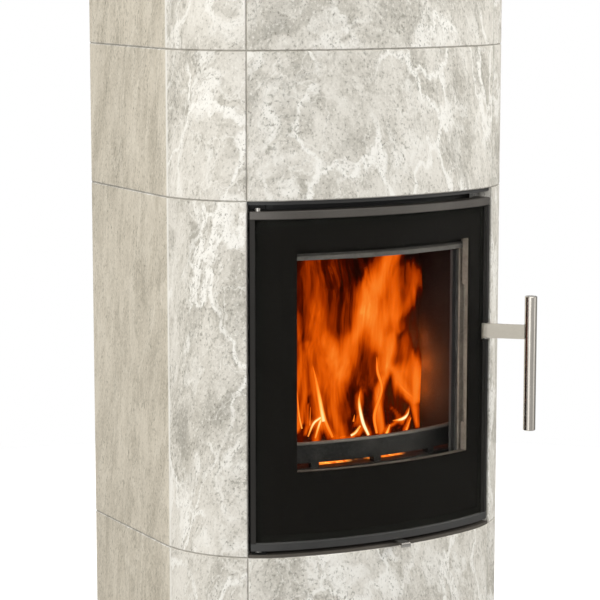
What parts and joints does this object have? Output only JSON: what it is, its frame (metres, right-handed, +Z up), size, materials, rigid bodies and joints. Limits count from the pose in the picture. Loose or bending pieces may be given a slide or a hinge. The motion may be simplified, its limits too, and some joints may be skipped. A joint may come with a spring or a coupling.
{
  "type": "masonry heater",
  "caption": "Soapstone-clad storage wood stove with bowed front, curved glazed door on hinge pins, lever latch, sliding air control and fitted firebox.",
  "frame": {"origin": "middle of the footprint on the floor, lever and air inlet included", "axes": "+Z up, -Y to the front (the glazed side), +X to the right of someone facing the front"},
  "size_m": [0.54, 0.442, 1.325],
  "materials": {
    "soapstone": "honed soapstone with pale veins",
    "storage_stone": "sawn soapstone",
    "firebrick": "pressed firebrick",
    "cast_iron": "raw casting, matt",
    "black_steel": "matt stove paint",
    "bare_steel": "brushed stainless",
    "ceramic_glass": "clear ceramic glass",
    "seal": "woven glass fibre"
  },
  "bodies": {
    "stove_body": {"base_stone_left": "soapstone", "base_stone_right": "soapstone", "base_stone_front": "soapstone", "door_stone_left": "soapstone", "door_stone_right": "soapstone", "lintel_stone_left": "soapstone", "lintel_stone_right": "soapstone", "lintel_stone_front": "soapstone", "crown_stone_left": "soapstone", "crown_stone_right": "soapstone", "crown_stone_front": "soapstone", "top_stone": "soapstone", "storage_block_rear": "storage_stone", "storage_block_lower": "storage_stone", "storage_block_upper": "storage_stone", "lining_left": "firebrick", "lining_right": "firebrick", "lining_rear": "firebrick", "baffle_plate": "firebrick", "plinth": "cast_iron", "hearth_plate": "cast_iron", "grate": "cast_iron", "log_guard": "cast_iron", "base_plate": "black_steel", "firebox_floor": "black_steel", "firebox_side_left": "black_steel", "firebox_side_right": "black_steel", "firebox_rear": "black_steel", "firebox_top": "black_steel", "door_head": "black_steel", "frame_sill": "black_steel", "ash_box": "black_steel", "hinge_bracket_upper": "black_steel", "hinge_bracket_lower": "black_steel", "latch_keeper": "black_steel", "rear_panel": "black_steel", "rear_angles": "black_steel", "air_pedestal": "black_steel", "air_inlet_spigot": "black_steel", "flue_collar": "black_steel", "keeper_roller": "bare_steel", "ash_pan": "bare_steel", "levelling_feet": "bare_steel", "rear_panel_screws": "bare_steel"},
    "door": {"door_frame": "black_steel", "door_glass": "ceramic_glass", "glass_tape": "seal", "door_top_strip": "black_steel", "door_bottom_strip": "black_steel", "door_edge_strips": "black_steel", "air_wash_bar": "black_steel", "door_seal": "seal", "hinge_pins": "bare_steel", "handle_pin": "bare_steel"},
    "handle": {"handle_lever": "bare_steel", "handle_bar": "bare_steel"},
    "air_control": {"air_slide": "bare_steel", "air_lever": "bare_steel"}
  },
  "joints": [
    {"name": "door_hinge", "type": "hinge", "parent": "stove_body", "child": "door", "pos_m": [-0.18486, -0.15912, 0.6], "axis": [0, 0, -1], "range_deg": [0, 100]},
    {"name": "handle_pivot", "type": "hinge", "parent": "door", "child": "handle", "pos_m": [0.18741, -0.15132, 0.64], "axis": [0, 0, -1], "range_deg": [0, 25]},
    {"name": "air_slide", "type": "slide", "parent": "stove_body", "child": "air_control", "axis": [1, 0, 0], "range_m": [-0.07, 0.03]}
  ]
}
